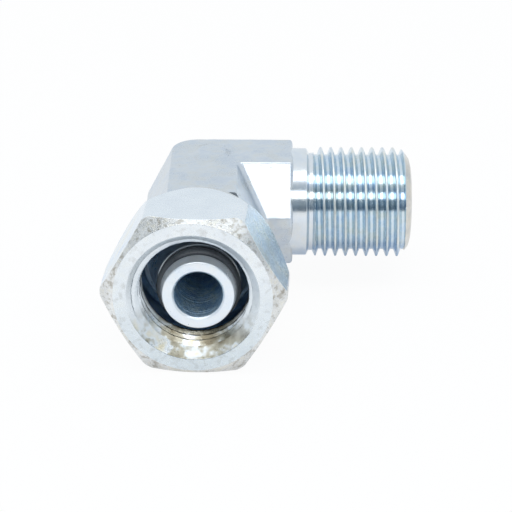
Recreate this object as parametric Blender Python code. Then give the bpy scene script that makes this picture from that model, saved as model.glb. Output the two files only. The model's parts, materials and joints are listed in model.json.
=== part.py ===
"""A hydraulic elbow adapter: a forged right-angle body, a loose hexagon nut and a seal ring.

One leg of the body ends in a threaded stud along +X. The other ends along -Y in a tapered
sealing nose with a groove for the seal ring. The nut turns freely on the nose, held by a
lip at its back that was pressed in behind the body's collar. Metres, +Z up. The model is
built round the crossing of the two bores and then set down with its box centred over the origin.
"""

import math

import bmesh
import bpy
from mathutils import Matrix, Vector

MM = 0.001

# Forged body: flats above and below, drafted sides, and a narrow band where the dies met.
BODY_HEIGHT = 15.8 * MM
BODY_FLAT_WIDTH = 9.4 * MM
BODY_WIDTH = 16.9 * MM
PARTING_BAND = 1.4 * MM
HEEL_RADIUS = 3.8 * MM
THROAT_FILLET = 0.9 * MM
FORGED_EDGE = 0.4 * MM
STUD_LEG = 12.65 * MM
NOSE_LEG = 16.4 * MM

# Plain oval pad on the upper flat, its middle measured from the crossing towards each end.
PAD_LENGTH = 7.0 * MM
PAD_WIDTH = 5.4 * MM
PAD_HEIGHT = 0.25 * MM
PAD_EDGE = 0.7 * MM
PAD_TO_STUD = 1.0 * MM
PAD_TO_NOSE = 0.8 * MM

# Threaded stud, measured along +X from the end of its leg. Its steps are cut in from the crest.
STUD_DIAMETER = 15.9 * MM
STUD_PITCH = 1.5 * MM
STUD_LENGTH = 17.4 * MM
SHANK_STEP = 0.15 * MM
SHANK_LENGTH = 1.95 * MM
RUNOUT_DEPTH = 0.95 * MM
RUNOUT_LENGTH = 0.9 * MM
END_CHAMFER_LENGTH = 1.2 * MM
END_CHAMFER_DEPTH = 1.3 * MM
END_ROUND = 0.35 * MM
END_FACE_DEPTH = 2.55 * MM

# Sealing nose: neck, collar and cone follow one another along -Y from the end of its leg.
NECK_LENGTH = 3.8 * MM
COLLAR_DIAMETER = 15.8 * MM
COLLAR_HEIGHT = 1.3 * MM
COLLAR_LENGTH = 1.8 * MM
COLLAR_EDGE = 0.4 * MM
CONE_LENGTH = 11.2 * MM
NOSE_TIP_DIAMETER = 9.5 * MM
NOSE_TAPER_DEG = 12.0
NOSE_EDGE = 0.2 * MM
GROOVE_BACK = 1.75 * MM
GROOVE_WIDTH = 2.2 * MM
GROOVE_FLOOR_DIAMETER = 8.0 * MM

# Bores: one drilled in from each end until they meet.
NOSE_BORE = 6.5 * MM
STUD_BORE = 6.5 * MM
NOSE_BORE_OVERRUN = 1.6 * MM
STUD_BORE_OVERRUN = 1.3 * MM
DRILL_POINT_DEG = 118.0
DRILL_TIP_DIAMETER = 0.13 * MM
BORE_EDGE = 0.25 * MM

# Seal ring in the nose's groove.
SEAL_SECTION = 1.5 * MM
SEAL_CLEARANCE = 0.12 * MM

# Loose nut, measured back from its front face along its own axis. Its thread clears the body's
# collar, its wall stands on the thread, and its ends are cut in from the flats and the corners.
NUT_BORE_CLEARANCE = 1.15 * MM
NUT_WALL = 1.95 * MM
NUT_SIDES = 6
NUT_LENGTH = 16.0 * MM
NUT_CORNER_CUT = 0.3 * MM
NUT_FACE_INSET = 0.5 * MM
NUT_CHAMFER_DEG = 37.0
NUT_REAR_INSET = 1.6 * MM
NUT_TAPER_DEG = 20.0
NUT_THREAD_PITCH = 1.5 * MM
NUT_THREAD_LENGTH = 10.0 * MM
NUT_RELIEF_DEPTH = 0.1 * MM
LIP_BORE_CLEARANCE = 0.4 * MM
LIP_LENGTH = 0.9 * MM
LIP_SLOPE_LENGTH = 1.6 * MM
LIP_BEHIND_COLLAR = 1.2 * MM
# The loose nut hangs a little to one side on its collar, pivoting where the lip holds it.
NUT_LEAN_DEG = 2.7

# A 60 degree thread: how deep it is cut, and how much of a pitch its crest and root take.
THREAD_DEPTH = 0.58
CREST_SHARE = 0.16
ROOT_SHARE = 0.14

SEGMENTS = 48
ARC_STEPS = 10
SEAL_STEPS = 12
PAD_STEPS = 3
EDGE_STEPS = 2
SMOOTH_BELOW_DEG = 35.0
FORGED_ABOVE_DEG = 20.0
OVERLAP = 1.0 * MM
MERGE = 0.001 * MM

# Sizes that follow from the ones above.
STUD_END = STUD_LEG + STUD_LENGTH
SHANK_RADIUS = STUD_DIAMETER / 2.0 - SHANK_STEP
RUNOUT_RADIUS = STUD_DIAMETER / 2.0 - RUNOUT_DEPTH
COLLAR_START = NOSE_LEG + NECK_LENGTH
CONE_START = COLLAR_START + COLLAR_LENGTH
NOSE_END = CONE_START + CONE_LENGTH
NECK_RADIUS = COLLAR_DIAMETER / 2.0 - COLLAR_HEIGHT
NUT_BORE_RADIUS = COLLAR_DIAMETER / 2.0 + NUT_BORE_CLEARANCE
NUT_THREAD_CREST = NUT_BORE_RADIUS - THREAD_DEPTH * NUT_THREAD_PITCH
NUT_RELIEF_RADIUS = NUT_BORE_RADIUS + NUT_RELIEF_DEPTH
NUT_FLAT_RADIUS = NUT_BORE_RADIUS + NUT_WALL
NUT_CORNER_RADIUS = NUT_FLAT_RADIUS / math.cos(math.pi / NUT_SIDES)

ALONG_STUD = Matrix.Identity(4)
ALONG_NOSE = Matrix.Rotation(math.radians(-90.0), 4, "Z")


def clear_scene():
    for old in list(bpy.data.objects):
        bpy.data.objects.remove(old, do_unlink=True)


def plated_steel(name, color, roughness):
    material = bpy.data.materials.new(name)
    material.use_nodes = True
    shader = material.node_tree.nodes["Principled BSDF"]
    shader.inputs["Base Color"].default_value = (*color, 1.0)
    shader.inputs["Metallic"].default_value = 1.0
    shader.inputs["Roughness"].default_value = roughness
    return material


def black_rubber():
    material = plated_steel("black_rubber", (0.02, 0.02, 0.022), 0.55)
    material.node_tree.nodes["Principled BSDF"].inputs["Metallic"].default_value = 0.0
    return material


def finished_object(name, shape, matrix=ALONG_STUD):
    """A mesh object from a bmesh, closed, facing out and shaded smooth over its rounds."""
    bmesh.ops.remove_doubles(shape, verts=shape.verts, dist=MERGE)
    bmesh.ops.dissolve_degenerate(shape, edges=shape.edges, dist=MERGE)
    bmesh.ops.recalc_face_normals(shape, faces=shape.faces)
    mesh = bpy.data.meshes.new(name)
    shape.to_mesh(mesh)
    shape.free()
    mesh.transform(matrix)
    mesh.shade_smooth()
    mesh.set_sharp_from_angle(angle=math.radians(SMOOTH_BELOW_DEG))
    made = bpy.data.objects.new(name, mesh)
    bpy.context.scene.collection.objects.link(made)
    return made


def turned(name, profile, matrix=ALONG_STUD, closed=False):
    """A solid turned about its own X axis. profile(turn) lists (along, radius) from start to end,
    and turn runs from 0 to 1 round the axis, so a profile that moves with it cuts a thread.
    A closed profile makes a ring, and an open one gets a flat end at each side.
    """
    shape = bmesh.new()
    columns = []
    for step in range(SEGMENTS + 1):
        turn = step / SEGMENTS
        angle = 2.0 * math.pi * turn
        across, up = math.cos(angle), math.sin(angle)
        columns.append([shape.verts.new((x, r * across, r * up)) for x, r in profile(turn)])
    for here, after in zip(columns, columns[1:]):
        rows = len(here) if closed else len(here) - 1
        for row in range(rows):
            nxt = (row + 1) % len(here)
            shape.faces.new((here[row], here[nxt], after[nxt], after[row]))
    if not closed:
        shape.faces.new([column[0] for column in columns[:-1]])
        shape.faces.new([column[-1] for column in reversed(columns[:-1])])
    return finished_object(name, shape, matrix)


def helper(made):
    """Marks a solid that only joins or cuts another."""
    made.hide_render = True
    made.display_type = "WIRE"
    return made


def combine(target, operation, other):
    step = target.modifiers.new(f"{operation.lower()} {other.name}", "BOOLEAN")
    step.operation = operation
    step.object = other
    step.solver = "EXACT"


def thread_points(turn, start, end, pitch, crest, depth, limit):
    """The profile of a thread at one place round the axis, crest radius inwards by depth (or
    outwards, where depth is below zero). limit(x, r) holds it to the blank it is cut in, and
    what would lie past an end gathers there.
    """
    root = crest - depth
    flank = (1.0 - CREST_SHARE - ROOT_SHARE) / 2.0
    places = (
        (0.0, root),
        (ROOT_SHARE, root),
        (ROOT_SHARE + flank, crest),
        (ROOT_SHARE + flank + CREST_SHARE, crest),
    )
    points = []
    for count in range(-1, math.ceil((end - start) / pitch) + 2):
        for share, radius in places:
            x = start + pitch * (count + turn + share)
            x = min(max(x, start), end)
            points.append((x, limit(x, radius)))
    return points


def along_line(x, first, second):
    """The radius at x on the line through two (along, radius) points, level beyond them."""
    share = (x - first[0]) / (second[0] - first[0])
    share = min(max(share, 0.0), 1.0)
    return first[1] + share * (second[1] - first[1])


def leg_outline(half_width):
    """The body's outline seen from above, at a height where its legs are this wide."""
    inside = THROAT_FILLET
    heel_center = BODY_FLAT_WIDTH / 2.0 - HEEL_RADIUS
    heel = half_width - heel_center
    points = [(-half_width, -NOSE_LEG), (half_width, -NOSE_LEG)]
    for step in range(ARC_STEPS + 1):
        angle = math.radians(180.0 - 90.0 * step / ARC_STEPS)
        points.append((
            half_width + inside + inside * math.cos(angle),
            -half_width - inside + inside * math.sin(angle),
        ))
    points += [(STUD_LEG, -half_width), (STUD_LEG, half_width)]
    for step in range(ARC_STEPS + 1):
        angle = math.radians(90.0 + 90.0 * step / ARC_STEPS)
        points.append((
            -heel_center + heel * math.cos(angle),
            heel_center + heel * math.sin(angle),
        ))
    return points


def forged_blank():
    """The forging before any turning: one outline at each height, joined by drafted sides."""
    half_height, half_band = BODY_HEIGHT / 2.0, PARTING_BAND / 2.0
    levels = (
        (-half_height, BODY_FLAT_WIDTH / 2.0),
        (-half_band, BODY_WIDTH / 2.0),
        (half_band, BODY_WIDTH / 2.0),
        (half_height, BODY_FLAT_WIDTH / 2.0),
    )
    shape = bmesh.new()
    loops = [[shape.verts.new((x, y, z)) for x, y in leg_outline(width)] for z, width in levels]
    for low, high in zip(loops, loops[1:]):
        for index in range(len(low)):
            after = (index + 1) % len(low)
            shape.faces.new((low[index], low[after], high[after], high[index]))
    shape.faces.new(list(reversed(loops[0])))
    shape.faces.new(loops[-1])
    bmesh.ops.recalc_face_normals(shape, faces=shape.faces)
    round_forged_edges(shape)
    return finished_object("elbow_body", shape)


def round_forged_edges(shape):
    """Rounds the edges the dies left. The two end faces were machined, and stay crisp."""

    def machined(edge):
        return (all(abs(vertex.co.y + NOSE_LEG) < MERGE for vertex in edge.verts)
                or all(abs(vertex.co.x - STUD_LEG) < MERGE for vertex in edge.verts))

    sharp = math.radians(FORGED_ABOVE_DEG)
    edges = [e for e in shape.edges if e.calc_face_angle() > sharp and not machined(e)]
    bmesh.ops.bevel(
        shape, geom=edges, offset=FORGED_EDGE, segments=EDGE_STEPS, profile=0.5, affect="EDGES",
    )


def mark_pad():
    """A plain oval pad with a rounded edge, raised on the upper flat."""
    top = BODY_HEIGHT / 2.0
    radius = PAD_LENGTH / 2.0
    points = [(top - OVERLAP, radius)]
    for step in range(PAD_STEPS + 1):
        angle = math.radians(90.0 * step / PAD_STEPS)
        points.append((
            top + PAD_HEIGHT * math.sin(angle),
            radius - PAD_EDGE + PAD_EDGE * math.cos(angle),
        ))
    stand_up = Matrix.Rotation(math.radians(-90.0), 4, "Y")
    narrow = Matrix.Diagonal((PAD_WIDTH / PAD_LENGTH, 1.0, 1.0, 1.0))
    place = Matrix.Translation((PAD_TO_STUD, -PAD_TO_NOSE, 0.0))
    return helper(turned("mark_pad", lambda turn: points, place @ narrow @ stand_up))


def stud_blank(x, radius):
    """Holds a stud thread to the run-out groove behind it and the chamfer at its end."""
    start = STUD_LEG + SHANK_LENGTH + RUNOUT_LENGTH
    crest = STUD_DIAMETER / 2.0
    rise = (start + RUNOUT_DEPTH / 2.0, crest)
    chamfer = (STUD_END - END_ROUND - END_CHAMFER_LENGTH, crest)
    behind = along_line(x, (start, RUNOUT_RADIUS), rise)
    ahead = along_line(x, chamfer, (STUD_END - END_ROUND, crest - END_CHAMFER_DEPTH))
    return min(radius, behind, ahead)


def stud_solid():
    groove = STUD_LEG + SHANK_LENGTH
    into_groove = (SHANK_RADIUS - RUNOUT_RADIUS) / 2.0
    crest = STUD_DIAMETER / 2.0

    def profile(turn):
        thread = thread_points(
            turn, groove + RUNOUT_LENGTH, STUD_END - END_ROUND, STUD_PITCH, crest,
            THREAD_DEPTH * STUD_PITCH, stud_blank,
        )
        return [
            (STUD_LEG - OVERLAP, SHANK_RADIUS),
            (groove, SHANK_RADIUS),
            (groove + into_groove, RUNOUT_RADIUS),
            *thread,
            (STUD_END, crest - END_FACE_DEPTH),
        ]

    return helper(turned("stud", profile))


def nose_radius(behind_tip):
    return NOSE_TIP_DIAMETER / 2.0 + behind_tip * math.tan(math.radians(NOSE_TAPER_DEG))


def nose_solid():
    """Neck, collar, sealing cone and grooved tip, turned about the nose axis."""
    groove_front, groove_rear = GROOVE_BACK, GROOVE_BACK + GROOVE_WIDTH
    floor, collar = GROOVE_FLOOR_DIAMETER / 2.0, COLLAR_DIAMETER / 2.0
    points = [
        (NOSE_LEG - OVERLAP, NECK_RADIUS),
        (COLLAR_START, NECK_RADIUS),
        (COLLAR_START, collar - COLLAR_EDGE),
        (COLLAR_START + COLLAR_EDGE, collar),
        (CONE_START - COLLAR_EDGE, collar),
        (CONE_START, collar - COLLAR_EDGE),
        (CONE_START, nose_radius(CONE_LENGTH)),
        (NOSE_END - groove_rear, nose_radius(groove_rear)),
        (NOSE_END - groove_rear, floor),
        (NOSE_END - groove_front, floor),
        (NOSE_END - groove_front, nose_radius(groove_front)),
        (NOSE_END - NOSE_EDGE, nose_radius(NOSE_EDGE)),
        (NOSE_END, nose_radius(0.0) - NOSE_EDGE),
    ]
    return helper(turned("nose", lambda turn: points, ALONG_NOSE))


def drilled_bore(name, reach, bore, overrun, matrix):
    """A cutter for a bore drilled in from one end, with a broken edge at its mouth."""
    radius = bore / 2.0
    point = radius / math.tan(math.radians(DRILL_POINT_DEG / 2.0))
    points = [
        (-overrun - point, DRILL_TIP_DIAMETER / 2.0),
        (-overrun, radius),
        (reach - BORE_EDGE, radius),
        (reach, radius + BORE_EDGE),
        (reach + OVERLAP, radius + BORE_EDGE + OVERLAP),
    ]
    return helper(turned(name, lambda turn: points, matrix))


def make_body():
    body = forged_blank()
    body.data.materials.append(plated_steel("zinc_on_forged_steel", (0.72, 0.75, 0.79), 0.34))
    combine(body, "UNION", mark_pad())
    combine(body, "UNION", stud_solid())
    combine(body, "UNION", nose_solid())
    nose_bore = drilled_bore("nose_bore", NOSE_END, NOSE_BORE, NOSE_BORE_OVERRUN, ALONG_NOSE)
    stud_bore = drilled_bore("stud_bore", STUD_END, STUD_BORE, STUD_BORE_OVERRUN, ALONG_STUD)
    combine(body, "DIFFERENCE", nose_bore)
    combine(body, "DIFFERENCE", stud_bore)
    return body


def make_seal():
    section = SEAL_SECTION / 2.0
    middle = GROOVE_FLOOR_DIAMETER / 2.0 + SEAL_CLEARANCE + section
    along = NOSE_END - GROOVE_BACK - GROOVE_WIDTH / 2.0
    points = []
    for step in range(SEAL_STEPS):
        angle = 2.0 * math.pi * step / SEAL_STEPS
        points.append((along + section * math.cos(angle), middle + section * math.sin(angle)))
    seal = turned("seal_ring", lambda turn: points, ALONG_NOSE, closed=True)
    seal.data.materials.append(black_rubber())
    return seal


def nut_bore_limit(back, radius):
    """Holds the nut's thread to the countersink at its mouth and the relief behind it."""
    countersink = NUT_BORE_RADIUS - NUT_THREAD_CREST
    mouth = along_line(back, (0.0, NUT_BORE_RADIUS), (countersink, NUT_THREAD_CREST))
    last_turn = NUT_THREAD_LENGTH - (NUT_RELIEF_RADIUS - NUT_THREAD_CREST)
    into_relief = along_line(
        back, (last_turn, NUT_THREAD_CREST), (NUT_THREAD_LENGTH, NUT_RELIEF_RADIUS)
    )
    return max(radius, mouth, into_relief)


def nut_hollow(turn):
    """All that is hollow in the nut: countersink, thread, relief and the pressed-in lip."""
    thread = thread_points(
        -turn, 0.0, NUT_THREAD_LENGTH, NUT_THREAD_PITCH, NUT_THREAD_CREST,
        -THREAD_DEPTH * NUT_THREAD_PITCH, nut_bore_limit,
    )
    lip = NECK_RADIUS + LIP_BORE_CLEARANCE
    lip_start = NUT_LENGTH - LIP_LENGTH
    return [
        (-OVERLAP, NUT_BORE_RADIUS + OVERLAP),
        *thread,
        (lip_start - LIP_SLOPE_LENGTH, NUT_RELIEF_RADIUS),
        (lip_start, lip),
        (NUT_LENGTH + OVERLAP, lip),
    ]


def nut_envelope():
    """The turned outside of the nut: front chamfer, corner diameter and long rear taper."""
    face, rear = NUT_FLAT_RADIUS - NUT_FACE_INSET, NUT_FLAT_RADIUS - NUT_REAR_INSET
    corner = NUT_CORNER_RADIUS - NUT_CORNER_CUT
    front_cut = (corner - face) * math.tan(math.radians(NUT_CHAMFER_DEG))
    rear_cut = (corner - rear) / math.tan(math.radians(NUT_TAPER_DEG))
    return [(0.0, face), (front_cut, corner), (NUT_LENGTH - rear_cut, corner), (NUT_LENGTH, rear)]


def make_nut(frame):
    """The nut, in a frame whose origin is the pivot under the lip and whose X runs forwards."""
    pivot_back = NUT_LENGTH - LIP_LENGTH
    from_front = Matrix.Translation((pivot_back, 0.0, 0.0)) @ Matrix.Diagonal((-1.0, 1.0, 1.0, 1.0))
    shape = bmesh.new()
    rings = []
    for along in (-OVERLAP, NUT_LENGTH + OVERLAP):
        ring = []
        for index in range(NUT_SIDES):
            angle = 2.0 * math.pi * index / NUT_SIDES
            across, up = NUT_CORNER_RADIUS * math.cos(angle), NUT_CORNER_RADIUS * math.sin(angle)
            ring.append(shape.verts.new((along, across, up)))
        rings.append(ring)
    for index in range(NUT_SIDES):
        after = (index + 1) % NUT_SIDES
        shape.faces.new((rings[0][index], rings[0][after], rings[1][after], rings[1][index]))
    shape.faces.new(rings[0])
    shape.faces.new(list(reversed(rings[1])))
    nut = finished_object("swivel_nut", shape, from_front)
    envelope = nut_envelope()
    outside = helper(turned("nut_outside", lambda turn: envelope))
    inside = helper(turned("nut_inside", nut_hollow))
    for tool in (outside, inside):
        tool.data.transform(from_front)
        tool.data.flip_normals()
        tool.parent = frame
    nut.data.flip_normals()
    nut.parent = frame
    nut.data.materials.append(plated_steel("zinc_on_turned_nut", (0.76, 0.78, 0.81), 0.28))
    combine(nut, "INTERSECT", outside)
    combine(nut, "DIFFERENCE", inside)
    return nut


def nut_frame(parent):
    """An empty on the nut's axis, under its lip, that leans with the loose nut."""
    pivot = bpy.data.objects.new("nut_pivot", None)
    bpy.context.scene.collection.objects.link(pivot)
    pivot.parent = parent
    pivot.location = Vector((0.0, LIP_BEHIND_COLLAR - COLLAR_START, 0.0))
    pivot.rotation_euler = (0.0, 0.0, math.radians(-90.0 - NUT_LEAN_DEG))
    return pivot


def set_down(root, pieces):
    """Moves the whole adapter so that it stands on z = 0 with its box centred over the origin."""
    bpy.context.view_layer.update()
    graph = bpy.context.evaluated_depsgraph_get()
    corners = []
    for piece in pieces:
        solid = piece.evaluated_get(graph)
        corners += [solid.matrix_world @ vertex.co for vertex in solid.data.vertices]
    low = [min(corner[axis] for corner in corners) for axis in range(3)]
    high = [max(corner[axis] for corner in corners) for axis in range(3)]
    root.location = (-(low[0] + high[0]) / 2.0, -(low[1] + high[1]) / 2.0, -low[2])


def main():
    clear_scene()
    root = bpy.data.objects.new("adapter", None)
    bpy.context.scene.collection.objects.link(root)
    body, seal = make_body(), make_seal()
    nut = make_nut(nut_frame(root))
    for made in bpy.data.objects:
        if made is not root and made.parent is None:
            made.parent = root
    set_down(root, (body, seal, nut))


main()
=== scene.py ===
"""The looks of the hydraulic elbow adapter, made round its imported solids.

The forged block, the threaded stud and the sealing nose together are the one-piece body. The
seal ring sits in the nose's groove, and the loose hexagon nut turns on the nose. Both threads
come from one geometry tree, which cuts a helical thread round a tube from named sizes.
Lengths are metres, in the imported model's own frame.
"""

import json
import math

import bmesh
import bpy
from mathutils import Matrix, Vector, noise

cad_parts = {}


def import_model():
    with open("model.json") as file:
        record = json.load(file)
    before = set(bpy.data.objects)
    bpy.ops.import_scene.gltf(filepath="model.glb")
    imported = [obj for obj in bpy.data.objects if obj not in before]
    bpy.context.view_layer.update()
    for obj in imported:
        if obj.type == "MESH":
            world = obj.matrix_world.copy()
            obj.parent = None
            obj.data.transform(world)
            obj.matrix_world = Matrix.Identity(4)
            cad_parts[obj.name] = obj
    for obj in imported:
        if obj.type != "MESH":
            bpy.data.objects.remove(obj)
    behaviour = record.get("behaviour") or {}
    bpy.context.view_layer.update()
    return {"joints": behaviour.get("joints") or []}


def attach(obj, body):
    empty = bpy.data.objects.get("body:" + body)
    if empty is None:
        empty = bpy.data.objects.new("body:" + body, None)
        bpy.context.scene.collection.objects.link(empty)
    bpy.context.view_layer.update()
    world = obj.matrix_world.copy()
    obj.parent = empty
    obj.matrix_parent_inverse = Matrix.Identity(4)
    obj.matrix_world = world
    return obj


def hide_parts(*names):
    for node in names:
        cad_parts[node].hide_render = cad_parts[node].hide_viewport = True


MM = 0.001

# The body, as in the solids: flats above and below, drafted sides and a narrow parting band.
BODY_HEIGHT = 15.8 * MM
FLAT_WIDTH = 9.4 * MM
BODY_WIDTH = 16.86 * MM
PARTING_BAND = 1.4 * MM
HEEL_CENTER = 0.9 * MM
THROAT_FILLET = 0.9 * MM
EDGE_ROUND = 0.4 * MM
BAND_ROUND = 0.3 * MM
STUD_LEG = 12.75 * MM
NOSE_LEG = 16.4 * MM
PAD_CENTER = (1.0 * MM, -0.8 * MM)
PAD_HALF = (2.7 * MM, 3.5 * MM)
PAD_HEIGHT = 0.25 * MM
PAD_SLOPE = 0.22

STUD_DIAMETER = 15.9 * MM
STUD_PITCH = 1.5 * MM
STUD_LENGTH = 17.12 * MM
SHANK_DIAMETER = 15.6 * MM
SHANK_LENGTH = 1.95 * MM
RUNOUT_DIAMETER = 14.2 * MM
RUNOUT_LENGTH = 0.9 * MM
RUNOUT_RISE = 2.0
STUD_THREAD_DEPTH = 1.05 * MM
STUD_THREAD_PHASE = 0.60
END_CHAMFER = 1.15 * MM
END_CHAMFER_DIAMETER = 12.8 * MM
END_ROUND = 0.3 * MM
END_FACE_DIAMETER = 9.8 * MM
END_FACE_ROUND = 0.8 * MM
END_DOME_DROP = 0.25 * END_ROUND
END_DOME_INSET = 0.8 * MM
END_DOME_ROUND = 1.0 * MM
STRAW_BAND = 1.0 * MM

NOSE_REACH = 33.2 * MM
NOSE_TIP_DIAMETER = 9.5 * MM
NOSE_TAPER = math.tan(math.radians(12.0))
GROOVE_BACK = 1.75 * MM
GROOVE_WIDTH = 2.2 * MM
GROOVE_FLOOR_DIAMETER = 8.0 * MM
CONE_LENGTH = 11.2 * MM
COLLAR_DIAMETER = 15.8 * MM
COLLAR_LENGTH = 1.8 * MM
NECK_DIAMETER = 13.2 * MM
BORE = 6.5 * MM
BORE_EDGE = 0.25 * MM
BORE_BREAK = 0.05 * MM
BORE_MARGIN = 0.02 * MM
NECK_ROUND = 0.3 * MM
COLLAR_ROUND = 0.35 * MM
CONE_FOOT_ROUND = 0.25 * MM
GROOVE_EDGE_ROUND = 0.12 * MM
TIP_ROUND = 0.22 * MM
TIP_BREAK = 0.06 * MM
FINE_ROUND = 0.15 * MM

# How far a turned end is let into the block, and the room that the block leaves round it.
SEAT_DEPTH = 1.0 * MM
SEAT_GAP = 0.03 * MM
NECK_WALL = 1.2 * MM
DRILL_POINT = ((-3.4 * MM, 0.05 * MM), (-1.5 * MM, BORE / 2.0))

# The block's end round at the stud, along and across, and where its last rings stand.
STUD_END_ROUND = (0.45 * MM, 0.7 * MM)
STUD_END_STATIONS = (2.985, 2.994, 3.0)

# The forged skin's waves: their size and depth, and their finer share and its scale.
SKIN_SIZE = 1.3 * MM
SKIN_DEPTH = 0.022 * MM
SKIN_FINE_SHARE = 0.4
SKIN_FINER = 3.1
SKIN_OFFSET = Vector((7.0, 0.0, 3.0))

SEAL_SECTION = 1.5 * MM
SEAL_CLEARANCE = 0.12 * MM
SEAL_FLASH = 0.03 * MM
SEAL_STEPS = 40

ACROSS_FLATS = 21.98 * MM
CORNER_DIAMETER = 24.8 * MM
CORNER_ROUND = 0.25 * MM
NUT_LENGTH = 16.0 * MM
FACE_DIAMETER = 21.0 * MM
CHAMFER_DEG = 37.0
TAPER_DEG = 20.0
REAR_DIAMETER = 18.8 * MM
MOUTH_DIAMETER = 17.8 * MM
MOUTH_EDGE = 0.3 * MM
NUT_THREAD_DIAMETER = 16.3 * MM
NUT_THREAD_DEPTH = 0.87 * MM
NUT_THREAD_START = 0.6 * MM
NUT_THREAD_LENGTH = 7.2 * MM
NUT_THREAD_PHASE = 0.10
NUT_PIVOT = 19.0 * MM
RELIEF_DIAMETER = 18.3 * MM
LIP_BORE_DIAMETER = 14.0 * MM
LIP_LENGTH = 0.9 * MM
LIP_SLOPE_LENGTH = 1.6 * MM
LIP_EDGE = 0.5 * MM
LIP_ROUND = 0.3 * MM
FACE_ROUND = 0.12 * MM
CHAMFER_ROUND = 0.14 * MM
TAPER_ROUND = 0.2 * MM
MOUTH_SHARE = 0.8
THREAD_GAP = 0.05 * MM

# A rolled crest is rougher than its flanks over this much of its height.
CREST_WEAR = 0.25 * MM
CREST_ROUGHER = 0.22

# How much of a pitch the crest and the root take, on the stud and in the nut.
STUD_THREAD_SHARES = (0.16, 0.30)
NUT_THREAD_SHARES = (0.12, 0.22)
STUD_THREAD_SOFTNESS = 0.25
NUT_THREAD_SOFTNESS = 0.12

# How finely the shapes are divided: rows in a pitch, rings along the block, columns round each
# piece, and the longest stretch along a line.
THREAD_ROWS = 24
AROUND = 288
NOSE_LEG_STEPS = 46
CORNER_STEPS = 20
STUD_LEG_STEPS = 40
NOSE_AROUND = 192
SEAL_AROUND = 160
DRILL_AROUND = 96
SECTION_STEP = 0.3 * MM
FINE_STEP = 0.4 * MM
NOSE_STEP = 0.5 * MM
COARSE_STEP = 0.8 * MM

# Points nearer than this are one point, and points this near a plane lie in it.
SAME_POINT = 0.0005 * MM
IN_PLANE = 0.001 * MM
PAD_MARGIN = 0.01 * MM
SHARP_DEG = 38.0

# The order of the finishes in each piece's list of materials.
ROLLED, TURNED, STRAW_END = range(3)
OUTSIDE, DRILLED = range(2)
FLATS, FACE, CHAMFER, TAPER, THREAD, RELIEF = range(6)

# Where the photograph was taken from, relative to the crossing of the bores.
FOCAL_PIXELS = 2000.0
FRAME_PIXELS = 512.0
SENSOR = 36.0
VIEW_AZIMUTH_DEG = -0.19
VIEW_ELEVATION_DEG = 23.55
VIEW_ROLL_DEG = -0.21
CROSSING_SEEN = Vector((-7.42, -8.07, 292.6)) * MM
CLIP = (0.01, 20.0)

# The softboxes: where they hang from the crossing, their sides in metres and their power.
OVERHEAD_SOFTBOX = ((0.0, -0.132, 0.6), (0.7, 0.23), 0.96)
FRONT_SOFTBOX = ((0.0, -0.58, 0.42), (0.8, 0.18), 1.2)

# The room's colors: around, and low and high where the camera stands. A direction is in the
# darker part by how far it points to the front, and in the high one by how far it points up.
ROOM_AROUND = (0.80, 0.86, 0.91, 1.0)
ROOM_LOW = (0.13, 0.18, 0.23, 1.0)
ROOM_HIGH = (0.24, 0.31, 0.37, 1.0)
ROOM_FRONT = (0.26, 0.80)
ROOM_RAISED = (0.14, 0.26)

# The floor: half its side in metres, how far it lies below the part, its color, and how much
# of it glows where the camera or a mirror image sees it.
FLOOR_HALF = 3.0
FLOOR_DROP = 0.02 * MM
FLOOR_COLOR = (0.86, 0.88, 0.90, 1.0)
FLOOR_SEEN = 0.94
FLOOR_MIRRORED = 0.45


# Shapes.

def eased(corners, steps=4):
    """A line through (along, radius, rounding) corners, each turned into a short arc."""
    points = []
    for index, (along, radius, ease) in enumerate(corners):
        here = Vector((along, radius))
        if ease == 0.0 or index in (0, len(corners) - 1):
            points.append(here)
            continue
        before = (Vector(corners[index - 1][:2]) - here).normalized()
        after = (Vector(corners[index + 1][:2]) - here).normalized()
        half = before.angle(after) / 2.0
        center = here + (before + after).normalized() * (ease / math.sin(half))
        reach = ease / math.tan(half)
        first, last = here + before * reach - center, here + after * reach - center
        for step in range(steps + 1):
            points.append(center + first.slerp(last, step / steps).normalized() * ease)
    return points


def divided(points, longest):
    """The same line with its long stretches divided."""
    made = [points[0]]
    for start, end in zip(points, points[1:]):
        parts = max(1, math.ceil((end - start).length / longest))
        made += [start.lerp(end, part / parts) for part in range(1, parts + 1)]
    return made


def finished_piece(name, shape, place, materials):
    """Closes the doubles, turns every face outwards and puts the piece in its place."""
    bmesh.ops.remove_doubles(shape, verts=shape.verts, dist=SAME_POINT)
    bmesh.ops.dissolve_degenerate(shape, edges=shape.edges, dist=SAME_POINT)
    bmesh.ops.recalc_face_normals(shape, faces=shape.faces)
    mesh = bpy.data.meshes.new(name)
    shape.to_mesh(mesh)
    shape.free()
    mesh.transform(place)
    mesh.shade_smooth()
    mesh.set_sharp_from_angle(angle=math.radians(SHARP_DEG))
    for material in materials:
        mesh.materials.append(material)
    piece = bpy.data.objects.new(name, mesh)
    bpy.context.scene.collection.objects.link(piece)
    return piece


def revolve(shape, profile, around, closed=False):
    """Turns (along, radius) points about the X axis, in this many columns."""
    columns = []
    for step in range(around):
        angle = 2.0 * math.pi * step / around
        across, up = math.cos(angle), math.sin(angle)
        columns.append([shape.verts.new((x, r * across, r * up)) for x, r in profile])
    rows = len(profile) if closed else len(profile) - 1
    for index, here in enumerate(columns):
        after = columns[(index + 1) % around]
        for row in range(rows):
            nxt = (row + 1) % len(profile)
            shape.faces.new((here[row], here[nxt], after[nxt], after[row]))


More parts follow.
